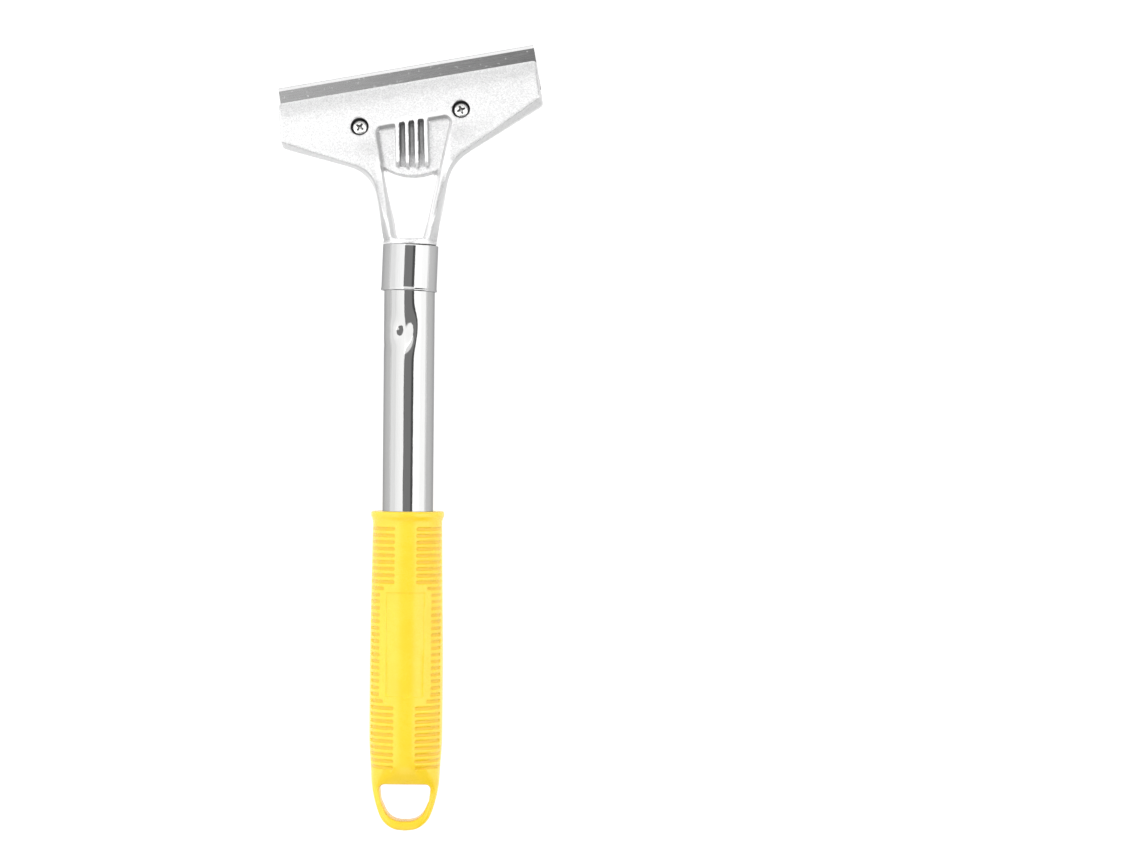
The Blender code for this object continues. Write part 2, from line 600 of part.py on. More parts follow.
# ------------------------------------------------------------------ assembly
def build():
    for ob in list(bpy.data.objects):
        bpy.data.objects.remove(ob, do_unlink=True)
    parts, cutters = collection("wall_scraper"), collection("cutters")

    root = bpy.data.objects.new("tool_frame", None)
    root.location = (NECK_X * MM, NECK_Y * MM, AXIS_Z * MM)
    parts.objects.link(root)
    head = bpy.data.objects.new("head_frame", None)
    parts.objects.link(head)
    head.parent = root
    v, z = bend(0.0, 0.0)
    x, y = flat(0.0, v)
    head.matrix_basis = (Matrix.Translation((x * MM, y * MM, z * MM)) @ Matrix.Rotation(HEAD_SKEW, 4, "Z")
                         @ Matrix.Rotation(-HEAD_TILT, 4, "X"))

    casting = make_casting(parts, cutters, root)
    ferrule, tube = make_handle(parts, cutters, root)
    grip = make_grip(parts, cutters, root)
    blade = make_blade(parts, cutters, head)
    plate = make_plate(parts, cutters, head)
    left = make_screw("clamp_screw_left", SCREWS_UV[0], SCREW_TURN[0], parts, cutters, head)
    right = make_screw("clamp_screw_right", SCREWS_UV[1], SCREW_TURN[1], parts, cutters, head)

    paint = material("silver_paint", (0.86, 0.86, 0.86), 0.42, 0.35)
    looks = {
        casting: paint, plate: material("cast_plate", (0.72, 0.72, 0.72), 0.5, 0.8),
        ferrule: material("polished_ferrule", (0.80, 0.80, 0.80), 0.12, 1.0),
        tube: material("polished_tube", (0.78, 0.78, 0.77), 0.14, 1.0),
        grip: material("yellow_plastic", (0.98, 0.72, 0.07), 0.4, 0.0),
        blade: material("ground_steel", (0.55, 0.55, 0.55), 0.3, 1.0),
        left: material("plated_screw_left", (0.75, 0.75, 0.74), 0.25, 1.0),
        right: material("plated_screw_right", (0.75, 0.75, 0.74), 0.25, 1.0),
    }
    for ob, m in looks.items():
        ob.data.materials.clear()
        ob.data.materials.append(m)
    for ob in cutters.objects:
        as_cutter(ob)


build()
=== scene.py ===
"""Looks of a long-handled wall scraper with a clamped blade.

The tool lies on its back on a white floor, and the camera looks straight down on it.
Lengths are in millimetres in the handle's frame, which has its origin on the handle's
axis at the top of the neck ferrule: x to the right, y to the blade, z up.
"""

import math

import bmesh
import bpy
from mathutils import Matrix, Vector
from mathutils.bvhtree import BVHTree


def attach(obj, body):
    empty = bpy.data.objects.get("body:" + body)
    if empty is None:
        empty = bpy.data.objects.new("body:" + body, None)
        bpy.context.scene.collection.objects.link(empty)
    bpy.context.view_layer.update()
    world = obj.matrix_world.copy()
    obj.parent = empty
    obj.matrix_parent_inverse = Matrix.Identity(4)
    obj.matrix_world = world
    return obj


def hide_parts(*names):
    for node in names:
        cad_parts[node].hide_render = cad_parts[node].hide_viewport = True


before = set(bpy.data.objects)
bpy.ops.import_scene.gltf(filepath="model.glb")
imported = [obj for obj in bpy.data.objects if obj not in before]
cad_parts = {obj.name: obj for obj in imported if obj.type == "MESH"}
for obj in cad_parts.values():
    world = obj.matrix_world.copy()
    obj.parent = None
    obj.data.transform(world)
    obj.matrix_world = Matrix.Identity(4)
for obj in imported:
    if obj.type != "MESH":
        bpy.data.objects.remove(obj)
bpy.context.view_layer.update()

MM = 0.001
NECK = Vector((0.91, 72.49, 13.95))          # the handle frame's origin in the row frame
HEAD_SKEW = math.radians(10.2)
WALL_SHADE = (0.25, 0.00, 0.18, 0.36)         # painted shade on walls that face right, left, the handle, and the handle inside the recess
LEG_SHADE = (0.46, 0.34)                       # painted shade, grey on the legs' outer sides, left and right
HEAD_TILT = math.radians(11.0)
HEAD_ORIGIN = Vector((1.89763, 120.60739, 7.64801))
HEAD = (Matrix.Translation(HEAD_ORIGIN * MM) @ Matrix.Rotation(HEAD_SKEW, 4, "Z")
        @ Matrix.Rotation(-HEAD_TILT, 4, "X"))

TUBE_R, TUBE_WALL, TUBE_END = 9.68, 0.8, -191.0
FERRULE_R, FERRULE_TOP, FERRULE_LENGTH, FERRULE_LEAN = 10.58, -0.45, 17.3, math.radians(-1.9)
STAKE_AT, STAKE_DEPTH = (-2.1, -33.2), 1.45
BORE_R, GRIP_TOP, GRIP_BORE_END = 10.05, -101.7, -191.6
LOOP_TOP, LOOP_BOTTOM, GRIP_END = -205.8, -219.6, -223.45
SCREWS_UV = ((-21.0, 0.35), (18.4, 0.35))
SCREW_TURN = (-44.0, 14.0)


# ------------------------------------------------------------------ mesh helpers
def add_object(name, mesh):
    ob = bpy.data.objects.new(name, mesh)
    bpy.context.scene.collection.objects.link(ob)
    return ob


def finish_mesh(bm, name, angle=32.0, matrix=None):
    bmesh.ops.recalc_face_normals(bm, faces=bm.faces)
    me = bpy.data.meshes.new(name)
    bm.to_mesh(me)
    bm.free()
    if matrix is not None:
        me.transform(matrix)
    me.shade_smooth()
    me.set_sharp_from_angle(angle=math.radians(angle))
    return add_object(name, me)


def skin(rings, closed=False):
    """A closed surface through rings of points; its two ends are capped unless it is closed on itself."""
    bm = bmesh.new()
    rows = [[bm.verts.new(p) for p in ring] for ring in rings]
    n = len(rows[0])
    pairs = list(zip(rows, rows[1:])) + ([(rows[-1], rows[0])] if closed else [])
    for lo, hi in pairs:
        for i in range(n):
            bm.faces.new((lo[i], lo[(i + 1) % n], hi[(i + 1) % n], hi[i]))
    if not closed:
        for row in (rows[0], rows[-1]):
            mid = bm.verts.new(sum((v.co for v in row), Vector()) / n)
            for i in range(n):
                bm.faces.new((row[i], row[(i + 1) % n], mid))
    return bm


def handle_point(x, y, z):
    return Vector((x + NECK.x, y + NECK.y, z + NECK.z)) * MM


def apply_modifiers(ob):
    bpy.context.view_layer.update()
    deps = bpy.context.evaluated_depsgraph_get()
    me = bpy.data.meshes.new_from_object(ob.evaluated_get(deps))
    ob.modifiers.clear()
    ob.data = me
    return ob


def subtract(ob, cutter):
    m = ob.modifiers.new("cut", "BOOLEAN")
    m.operation, m.solver, m.object = "DIFFERENCE", "EXACT", cutter
    apply_modifiers(ob)
    bpy.data.objects.remove(cutter)
    return ob


def inset(outline, d):
    n, out = len(outline), []
    for i in range(n):
        p, a, b = Vector(outline[i]), Vector(outline[i - 1]), Vector(outline[(i + 1) % n])
        ea, eb = (p - a).normalized(), (b - p).normalized()
        na, nb = Vector((-ea.y, ea.x)), Vector((-eb.y, eb.x))
        det = na.x * nb.y - na.y * nb.x
        if abs(det) < 0.02:
            m = (na + nb) / 2 * d
        else:
            m = Vector((d * nb.y - d * na.y, d * na.x - d * nb.x)) / det
        out.append(tuple(p + m))
    return out


def rounded(corners, d=0.0):
    """A closed anticlockwise outline through (x, y, radius, steps) corners, moved inwards by d."""
    moved, out, n = inset([c[:2] for c in corners], d), [], len(corners)
    for i, (_, _, r, k) in enumerate(corners):
        p = Vector(moved[i])
        to_a, to_b = (Vector(moved[i - 1]) - p).normalized(), (Vector(moved[(i + 1) % n]) - p).normalized()
        convex = to_b.x * to_a.y - to_b.y * to_a.x > 0
        r = max(0.2, r - d if convex else r + d)
        half = to_a.angle(to_b) / 2
        c = p + (to_a + to_b).normalized() * (r / math.sin(half))
        s, e = p + to_a * (r / math.tan(half)), p + to_b * (r / math.tan(half))
        a0 = math.atan2(s.y - c.y, s.x - c.x)
        turn = (math.atan2(e.y - c.y, e.x - c.x) - a0 + math.pi) % (2 * math.pi) - math.pi
        out += [(c.x + r * math.cos(a0 + turn * j / k), c.y + r * math.sin(a0 + turn * j / k)) for j in range(k + 1)]
    return out


def step(t):
    t = min(1.0, max(0.0, t))
    return t * t * (3 - 2 * t)


def lookup(table, y):
    """Smooth interpolation in a table of rows that fall in y."""
    if y >= table[0][0]:
        return list(table[0][1:])
    for i in range(len(table) - 1):
        (y0, *a), (y1, *b) = table[i], table[i + 1]
        if y1 <= y <= y0:
            t, h = (y0 - y) / (y0 - y1), y0 - y1
            out = []
            for k in range(len(a)):
                before = table[i - 1] if i > 0 else table[i]
                after = table[i + 2] if i + 2 < len(table) else table[i + 1]
                ma = (b[k] - before[k + 1]) / max(1e-6, before[0] - y1) * h
                mb = (after[k + 1] - a[k]) / max(1e-6, y0 - after[0]) * h
                if (b[k] - a[k]) * ma <= 0: ma = 0.0
                if (b[k] - a[k]) * mb <= 0: mb = 0.0
                ma, mb = (math.copysign(min(abs(m), 3 * abs(b[k] - a[k])), m) for m in (ma, mb))
                out.append(a[k] + (b[k] - a[k]) * t * t * (3 - 2 * t) + ma * t * (1 - t) ** 2 - mb * t * t * (1 - t))
            return out
    return list(table[-1][1:])


# ------------------------------------------------------------------ node helpers
class Look:
    """A material's node tree, with short calls for its nodes."""

    def __init__(self, name):
        self.m = bpy.data.materials.new(name)
        self.m.use_nodes = True
        self.t = self.m.node_tree
        self.p = self.t.nodes["Principled BSDF"]

    def node(self, kind, settings=None, **inputs):
        n = self.t.nodes.new(kind)
        for k, v in (settings or {}).items():
            setattr(n, k, v)
        for k, v in inputs.items():
            self.feed(n.inputs[k.replace("_", " ")] if k.replace("_", " ") in n.inputs else n.inputs[int(k[1:])], v)
        return n

    def feed(self, socket, v):
        if isinstance(v, bpy.types.NodeSocket):
            self.t.links.new(v, socket)
        elif isinstance(v, (tuple, list)) and len(v) == 3 and socket.type == "RGBA":
            socket.default_value = (*v, 1.0)
        else:
            socket.default_value = v

    def set(self, **inputs):
        for k, v in inputs.items():
            self.feed(self.p.inputs[k.replace("_", " ")], v)

    def place(self, matrix=None, scale=(1000, 1000, 1000)):
        """Rest coordinates of the surface in millimetres, in the frame that matrix gives."""
        v = self.node("ShaderNodeTexCoord").outputs["Object"]
        if matrix is not None:
            loc, rot, _ = matrix.decompose()
            v = self.node("ShaderNodeMapping", {"vector_type": "TEXTURE"}, Vector=v, Location=tuple(loc),
                          Rotation=tuple(rot.to_euler())).outputs[0]
        return self.node("ShaderNodeMapping", Vector=v, Scale=scale).outputs[0]

    def stretch(self, v, scale):
        return self.node("ShaderNodeMapping", Vector=v, Scale=scale).outputs[0]

    def noise(self, v, scale, detail=2.0, rough=0.5, distortion=0.0):
        return self.node("ShaderNodeTexNoise", Vector=v, Scale=scale, Detail=detail, Roughness=rough,
                         Distortion=distortion).outputs["Fac"]

    def cells(self, v, scale, out="Color"):
        return self.node("ShaderNodeTexVoronoi", Vector=v, Scale=scale).outputs[out]

    def fit(self, v, a, b, c, d, smooth=False):
        return self.node("ShaderNodeMapRange", {"interpolation_type": "SMOOTHSTEP" if smooth else "LINEAR"}, Value=v,
                         From_Min=a, From_Max=b, To_Min=c, To_Max=d).outputs[0]

    def math(self, op, a, b=0.0):
        n = self.node("ShaderNodeMath", {"operation": op})
        self.feed(n.inputs[0], a)
        self.feed(n.inputs[1], b)
        return n.outputs[0]

    def mix(self, fac, a, b, blend="MIX"):
        n = self.node("ShaderNodeMix", {"data_type": "RGBA", "blend_type": blend})
        self.feed(n.inputs[0], fac)
        self.feed(n.inputs[6], a)
        self.feed(n.inputs[7], b)
        return n.outputs[2]

    def xyz(self, v):
        return self.node("ShaderNodeSeparateXYZ", Vector=v).outputs

    def attribute(self, name):
        return self.node("ShaderNodeAttribute", {"attribute_name": name}).outputs["Fac"]

    def bump(self, height, strength, distance, before=None):
        n = self.node("ShaderNodeBump", Height=height, Strength=strength, Distance=distance)
        if before is not None:
            self.feed(n.inputs["Normal"], before)
        return n.outputs[0]


def wear(ob, look):
    ob.data.materials.clear()
    ob.data.materials.append(look.m)


# ------------------------------------------------------------------ materials
PAINT_DARK, PAINT_LIGHT = (0.53, 0.53, 0.533), (0.87, 0.87, 0.87)


def silver_paint():
    """Aluminium die casting under silver paint with fine flake."""
    k = Look("silver_paint")
    v = k.place()
    spark = k.xyz(k.cells(v, 2.7))[0]
    glint = k.xyz(k.cells(v, 4.3))[1]
    grain = k.noise(v, 5.0, 2.0, 0.6)
    cloud = k.noise(v, 0.06, 2.0)
    tone = k.math("ADD", k.fit(grain, 0.3, 0.7, -0.08, 0.08), k.fit(cloud, 0.3, 0.7, -0.04, 0.04))
    tone = k.math("ADD", tone, k.fit(spark, 0.0, 1.0, -0.28, 0.28))
    tone = k.math("ADD", tone, k.fit(glint, 0.0, 1.0, -0.22, 0.22))
    base = k.mix(k.math("ADD", tone, 0.5), PAINT_DARK, PAINT_LIGHT)
    # painted shade: the paint goes dark where the surface is marked for shade
    base = k.mix(k.attribute("low"), base, (0.12, 0.12, 0.122))
    # painted highlight: the paint goes light where the surface is marked for it
    base = k.mix(k.attribute("painted_highlight"), base, (0.97, 0.97, 0.97))
    k.set(Base_Color=base, Metallic=0.58, IOR=1.45, Specular_IOR_Level=0.5,
          Roughness=k.fit(k.math("ADD", grain, k.fit(spark, 0.0, 1.0, -0.2, 0.2)), 0.2, 0.8, 0.31, 0.40))
    pits = k.bump(grain, 0.28, 0.00007)
    k.set(Normal=k.bump(k.cells(v, 3.4, "Distance"), 0.16, 0.00006, pits))
    return k


def cast_plate():
    k = Look("cast_plate")
    v = k.place()
    grain = k.noise(v, 2.2, 4.0, 0.65)
    cloud = k.noise(v, 0.08, 3.0)
    base = k.mix(k.fit(cloud, 0.35, 0.65, 0, 1), (0.52, 0.52, 0.53), (0.66, 0.66, 0.66))
    base = k.mix(k.fit(grain, 0.35, 0.7, 0.0, 0.35), base, (0.42, 0.42, 0.43))
    k.set(Base_Color=base, Metallic=0.75, Roughness=k.fit(grain, 0.3, 0.7, 0.42, 0.6), Normal=k.bump(grain, 0.35, 0.00008))
    return k


def polished(name, base, streak, rough):
    """Bright-drawn steel with fine lines along the handle."""
    k = Look(name)
    x, y, z = k.xyz(k.place(Matrix.Translation(NECK * MM)))
    turn = k.math("MULTIPLY", k.node("ShaderNodeMath", {"operation": "ARCTAN2"}, i0=x, i1=z).outputs[0], 9.75)
    flat = k.node("ShaderNodeCombineXYZ", X=turn, Y=k.math("MULTIPLY", y, 0.03), Z=0.0).outputs[0]
    lines = k.noise(flat, 2.4, 3.0, 0.6)
    fine = k.noise(flat, 9.0, 2.0, 0.5)
    smear = k.noise(k.place(), 0.15, 3.0, 0.55)
    tone = k.fit(k.math("ADD", k.math("MULTIPLY", lines, 0.6), k.math("MULTIPLY", fine, 0.4)), 0.3, 0.7, 0.0, 1.0)
    k.set(Base_Color=k.mix(tone, tuple(c * 0.93 for c in base), base), Metallic=1.0, Specular_Tint=(0.55, 0.55, 0.56),
          Roughness=k.math("ADD", k.fit(smear, 0.3, 0.7, rough * 0.8, rough * 1.2), k.fit(fine, 0.3, 0.7, -0.02, 0.02)),
          Normal=k.bump(lines, streak, 0.00004))
    return k


def ground_steel():
    """Blade steel: long grinding lines on the flat, brighter and finer on the bevel."""
    k = Look("ground_steel")
    v = k.place(HEAD)
    u, w, _ = k.xyz(v)
    lines = k.noise(k.stretch(v, (0.02, 1.0, 1.0)), 7.0, 3.0, 0.6)
    cross = k.noise(k.stretch(v, (1.0, 0.05, 0.05)), 9.0, 2.0, 0.5)
    spots = k.noise(v, 0.5, 3.0, 0.6)
    # painted shade: the flat is darker towards the right of the blade
    flat = k.mix(k.fit(u, -50.0, 50.0, 0.0, 1.0), (0.245, 0.245, 0.245), (0.108, 0.108, 0.108))
    flat = k.mix(k.fit(lines, 0.4, 0.75, 0.0, 0.25), flat, (0.45, 0.45, 0.45))
    flat = k.mix(k.fit(spots, 0.62, 0.70, 0.0, 0.35), flat, (0.72, 0.72, 0.72))
    bevel = k.fit(w, 21.2, 21.45, 0.0, 1.0)
    base = k.mix(bevel, flat, k.mix(k.fit(cross, 0.3, 0.7, 0, 1), (0.70, 0.70, 0.70), (0.85, 0.85, 0.85)))
    base = k.mix(k.fit(w, 22.45, 22.62, 0.0, 0.8), base, (0.30, 0.30, 0.30))
    k.set(Base_Color=base, Metallic=1.0,
          Roughness=k.math("ADD", k.fit(bevel, 0, 1, 0.27, 0.4), k.fit(lines, 0.3, 0.7, -0.04, 0.05)),
          Normal=k.bump(lines, 0.25, 0.00002))
    return k


def plated_screws():
    k = Look("plated_screws")
    v = k.place()
    grain = k.noise(v, 4.0, 3.0, 0.6)
    base = k.mix(k.fit(grain, 0.35, 0.65, 0, 1), (0.78, 0.78, 0.77), (0.94, 0.94, 0.93))
    # painted shade in the cross recess and on the shank
    base = k.mix(k.math("MULTIPLY", k.attribute("low"), 0.7), base, (0.16, 0.16, 0.16))
    k.set(Base_Color=base, Metallic=1.0,
          Roughness=k.fit(grain, 0.3, 0.7, 0.2, 0.34), Normal=k.bump(grain, 0.15, 0.00003))
    return k


def yellow_plastic():
    """Moulded yellow plastic, with painted shade, deeper in colour, down in the grooves and on the loop hole's walls.
    """
    k = Look("yellow_plastic")
    v = k.place()
    grain = k.noise(v, 2.6, 3.0, 0.6)
    cloud = k.noise(v, 0.09, 2.0)
    low = k.attribute("low")
    base = k.mix(k.fit(cloud, 0.3, 0.7, 0, 1), (0.90, 0.625, 0.026), (0.93, 0.66, 0.036))
    # painted shade in the grooves and on the loop hole's walls
    base = k.mix(k.math("MULTIPLY", low, 0.70), base, (0.79, 0.455, 0.007))
    k.set(Base_Color=base, Metallic=0.0, IOR=1.5, Subsurface_Weight=0.12, Subsurface_Radius=(1.0, 0.6, 0.2), Subsurface_Scale=0.0012,
          Roughness=k.fit(k.math("ADD", k.math("MULTIPLY", grain, 0.5), k.math("MULTIPLY", cloud, 0.5)), 0.3, 0.7, 0.25, 0.30),
          Normal=k.bump(grain, 0.08, 0.00005))
    return k


PAINT, PLATE, YELLOW = silver_paint(), cast_plate(), yellow_plastic()
FERRULE = polished("polished_ferrule", (0.44, 0.44, 0.44), 0.08, 0.085)
TUBE = polished("polished_tube", (0.43, 0.43, 0.427), 0.18, 0.07)
STEEL, SCREW = ground_steel(), plated_screws()


# ------------------------------------------------------------------ cast pieces
def soften(node, name, voxel, passes, look, body):
    """A casting's rounded edges: a fine even copy of the CAD solid, with its edges worn round."""
    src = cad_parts[node]
    ob = add_object(name, src.data.copy())
    ob.data.attributes.active = None if not len(ob.data.attributes) else ob.data.attributes.active
    w = ob.modifiers.new("weld", "WELD")
    w.merge_threshold = 0.000001
    r = ob.modifiers.new("even", "REMESH")
    r.mode, r.voxel_size, r.adaptivity, r.use_smooth_shade = "VOXEL", voxel * MM, 0.0, True
    s = ob.modifiers.new("wear", "SMOOTH")
    s.factor, s.iterations = 0.5, passes
    apply_modifiers(ob)
    ob.data.shade_smooth()
    wear(ob, look)
    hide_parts(node)
    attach(ob, body)
    return ob


casting = soften("head_casting", "head", 0.34, 3, PAINT, "frame")


CHANNELS = ((-4.85, -2.57), (-1.27, 1.02), (2.32, 4.65))       # x between the ribs, at y = 48.5


def head_place(co, back, c, s):
    """Head coordinates u, w and z of a point, and x and y along the handle."""
    u, w, z = (back @ co) / MM
    return u, w, z, 0.89 + u * c - w * s, 48.66 + u * s + w * c


def crown(ob):
    """The face as it leaves the die: rolled off towards the blade and swelling a little under the screws,
    with the channels between the ribs running out to the thumb pad."""
    back = HEAD.inverted()
    turn, up = back.to_3x3(), HEAD.to_3x3() @ Vector((0, 0, 1))
    c, s = math.cos(HEAD_SKEW), math.sin(HEAD_SKEW)
    points = []
    for v in ob.data.vertices:
        u, w, z, x, y = head_place(v.co, back, c, s)
        lift = 0.0
        if z > 1.5 and -26.0 < w < 16.0 and (turn @ v.normal).z > -0.2:
            lift = -0.00030 * max(0.0, w - 5.0) ** 3
            if -25.0 < w < -3.0:
                lift += 0.50 * math.sin(math.pi * (-3.0 - w) / 22.0) ** 2
            lift *= step((z - 1.5) / 1.5)
        elif -1.9 < z < 0.3 and 28.8 < y < 38.0 and (turn @ v.normal).z > -0.2:
            drift = (48.5 - y) * 0.04
            if any(a - 0.1 < x - drift < b + 0.1 for a, b in CHANNELS):
                lift = max(0.0, -1.25 + 1.5 * step((37.5 - y) / 7.5) - z)
        points += (v.co + up * (lift * MM))[:]
    ob.data.vertices.foreach_set("co", points)
    ob.data.update()


def leg_surface(x, y, side):
    """The front (side 1) or the back (side -1) of the legs as one smooth surface: the plate's thickness grows
    towards the neck, drawn in to a round."""
    t = step(y / 25.0)
    z = (4.0 if side > 0 else 5.8) * (2.5 - 1.5 * t)
    if side > 0 and y > 20.0:
        v = -(x - 0.89) * math.sin(HEAD_SKEW) + (y - 48.66) * math.cos(HEAD_SKEW)
        z -= 0.0016 * (v - 6.0) ** 2 * min(1.0, (y - 20.0) / 12.0)
    r = 10.2 + 0.14 * max(0.0, y - 1.0) + 0.014 * max(0.0, y - 1.0) ** 2
    arc = math.sqrt(max(4.0, r * r - x * x))
    h = max(0.0, 1.6 - abs(z - arc)) / 1.6
    z = side * (min(z, arc) - 0.4 * h * h)
    u, v = (x - 0.89) * math.cos(HEAD_SKEW) + (y - 48.66) * math.sin(HEAD_SKEW), \
        -(x - 0.89) * math.sin(HEAD_SKEW) + (y - 48.66) * math.cos(HEAD_SKEW)
    if v > -42.0:
        q = 18.0 / HEAD_TILT
        a, over = min(v + 42.0, 18.0) / q, max(0.0, v + 24.0)
        v, z = (-42.0 + q * math.sin(a) + over * math.cos(a) + z * math.sin(a),
                -q * (1 - math.cos(a)) - over * math.sin(a) + z * math.cos(a))
    return (0.89 + u * math.cos(HEAD_SKEW) - v * math.sin(HEAD_SKEW),
            48.66 + u * math.sin(HEAD_SKEW) + v * math.cos(HEAD_SKEW), z)


def smooth_legs(ob):
    """Evens out the legs' front and back between the window and the outline."""
    nx, ny = 85, 81
    quads = [(j * nx + i, j * nx + i + 1, (j + 1) * nx + i + 1, (j + 1) * nx + i) for j in range(ny - 1) for i in range(nx - 1)]
    sheets = {side: BVHTree.FromPolygons([leg_surface(-21.0 + 0.5 * i, 0.4 * j, side) for j in range(ny) for i in range(nx)], quads)
              for side in (1, -1)}
    origin = Vector(handle_point(0.0, 0.0, 0.0))
    bm = bmesh.new()
    bm.from_mesh(ob.data)
    bm.normal_update()
    touched, near = [], {1: 0.9, -1: 2.0}
    for v in bm.verts:
        x, y, z = (v.co - origin) / MM
        side = 1 if z > 0.0 else -1
        if not 1.7 < y < 28.5 or v.normal.z * side < -0.1 or abs(x) > 19.0:
            continue
        hit = sheets[side].ray_cast(Vector((x, y, 40.0 * side)), Vector((0, 0, -side)))[0]
        if hit is None:
            continue
        w = step((y - 1.7) / 1.6) * (1.0 - step((y - 24.0) / 4.5))
        gap = side * (hit.z - z) - 0.12
        if gap < 0.0:
            v.co.z += side * w * gap * MM
        elif gap < near[side]:
            v.co.z += side * w * gap * step((v.normal.z * side - 0.62) / 0.25) * (1.0 - step((gap / near[side] - 0.6) / 0.4)) * MM
        if gap < near[side] + 0.3:
            touched.append(v)
    for i in range(2):
        bmesh.ops.smooth_vert(bm, verts=touched, factor=0.5, use_axis_x=False, use_axis_y=False, use_axis_z=True)
    bm.to_mesh(ob.data)
    bm.free()
    ob.data.update()


def shade_channels(ob):
    """Paints shade into the casting's colour, marked per point: painted shade in the channels between the ribs,
    in the screws' wells, a little on the walls that stand steeply to the face, on the legs' outer sides and
    below the screws; and painted highlight along the window's rim, on the rib tops and on walls that face left."""
    back = HEAD.inverted()
    turn = back.to_3x3()
    c, s = math.cos(HEAD_SKEW), math.sin(HEAD_SKEW)
    origin = Vector(handle_point(0.0, 0.0, 0.0))
    low = ob.data.attributes.new("low", "FLOAT", "POINT")
    painted_highlight = ob.data.attributes.new("painted_highlight", "FLOAT", "POINT")
    values, bright = [], []
    for v in ob.data.vertices:
        u, w, z, x, y = head_place(v.co, back, c, s)
        facing = v.normal
        # painted shade on walls that stand steeply to the face, stronger for some facings than others
        slope = step((0.85 - (turn @ facing).z) / 0.6) * step((z + 4.5) / 1.0)
        drift = (48.5 - y) * 0.04
        recess = 27.5 < y < 51.5 and -13.0 < x < 15.0 and z < 3.95
        far_wall = recess and y > 36.0
        shade_amount = slope * (WALL_SHADE[0] * max(0.0, facing.x) + WALL_SHADE[1] * max(0.0, -facing.x)
                         + (WALL_SHADE[3] if far_wall else WALL_SHADE[2]) * max(0.0, -facing.y))
        # painted shade in the channels between the ribs, fading out towards the thumb pad
        if recess and z > -2.9:
            for a, b in CHANNELS:
                edge = min(x - drift - a, b - x + drift)
                if edge > -0.12 and y > 29.4:
                    shade_amount = max(shade_amount, 0.63 * step((3.2 - z) / 4.0) * step((edge + 0.02) / 0.2) * (0.04 + 0.96 * step((y - 29.8) / 11.0)))
        # painted shadow in the screws' wells
        for at in SCREWS_UV:
            if math.hypot(u - at[0], w - at[1]) < 3.62 and z < 3.9:
                shade_amount = max(shade_amount, step((3.85 - z) / 0.5))
        # painted shade on the legs' outer sides
        hx, hy, hz = (v.co - origin) / MM
        if 0.6 < hy < 34.0 and hz > -2.0:
            fade = 1.0 - step((hy - 20.0) / 10.0)
            wall = step((0.80 - facing.z) / 0.40) * (1.0 - step((hy - 26.0) / 8.0))
            left, right = hx + 10.1 + 0.188 * (hy - 0.9), 10.2 + 0.145 * (hy - 0.9) - hx
            if hx < 0 and facing.x < 0.3 and left < 3.0:
                shade_amount = max(shade_amount, LEG_SHADE[0] * max(fade * (1.0 - step((left - 0.5) / 1.9)), wall))
            elif hx > 0 and facing.x > -0.3 and right < 4.2:
                shade_amount = max(shade_amount, LEG_SHADE[1] * max(fade * (1.0 - step(right / 4.0)), wall))
        # painted shade on the face below the screws
        if facing.z > 0.7 and z > 1.5:
            shade_amount = max(shade_amount, 0.15 * math.exp(-((abs(u) - 17.0) / 7.0) ** 2 - ((w + 9.5) / 5.0) ** 2))
        values.append(shade_amount)
        # painted highlight along the window's rim and on the left leg's face
        rim = 0.0
        if 2.5 < hy < 30.0 and facing.z > 0.3:
            inside = min(hx + 7.1 + 0.1675 * (hy - 4.0), 7.2 + 0.1953 * (hy - 4.0) - hx)
            rim = 0.9 * max(0.0, 1.0 - abs(inside + 0.30) / 0.60)
            if hx < 0 and inside < -0.3:
                rim = max(rim, 0.34 * step((left - 1.4) / 1.5) if hy < 30.0 else 0.0)
        # painted highlight on the rib tops
        if recess and z > 1.5 and facing.z > 0.6:
            rim = max(rim, 0.45)
        # painted highlight on steep walls that face left, on the right of the head
        bright.append(max(rim, slope * max(0.0, -facing.x) if 1.0 < y < 48.0 and 0.0 < x < 15.0 and z > -3.0 else 0.0))
    low.data.foreach_set("value", values)
    painted_highlight.data.foreach_set("value", bright)


crown(casting)
smooth_legs(casting)
shade_channels(casting)
plate = soften("clamp_plate", "clamp_plate_cast", 0.34, 3, PLATE, "clamp")


# ------------------------------------------------------------------ tube and ferrule
def dent(x, y):
    """How far the staking punch pressed the tube in: steep to the left of its deepest point, drawn in slowly to the right."""
    dy = y - STAKE_AT[1]
    dx = x - STAKE_AT[0] - 0.12 * dy
    if dx < 0:
        q = 0.5 * (dx / (1.78 + 0.75 * (math.hypot(dy, 0.8) - 0.8))) ** 2
    else:
        q = (dx / 4.3) ** 3
    return STAKE_DEPTH * math.exp(-q - 0.5 * (dy / 4.3) ** 2)


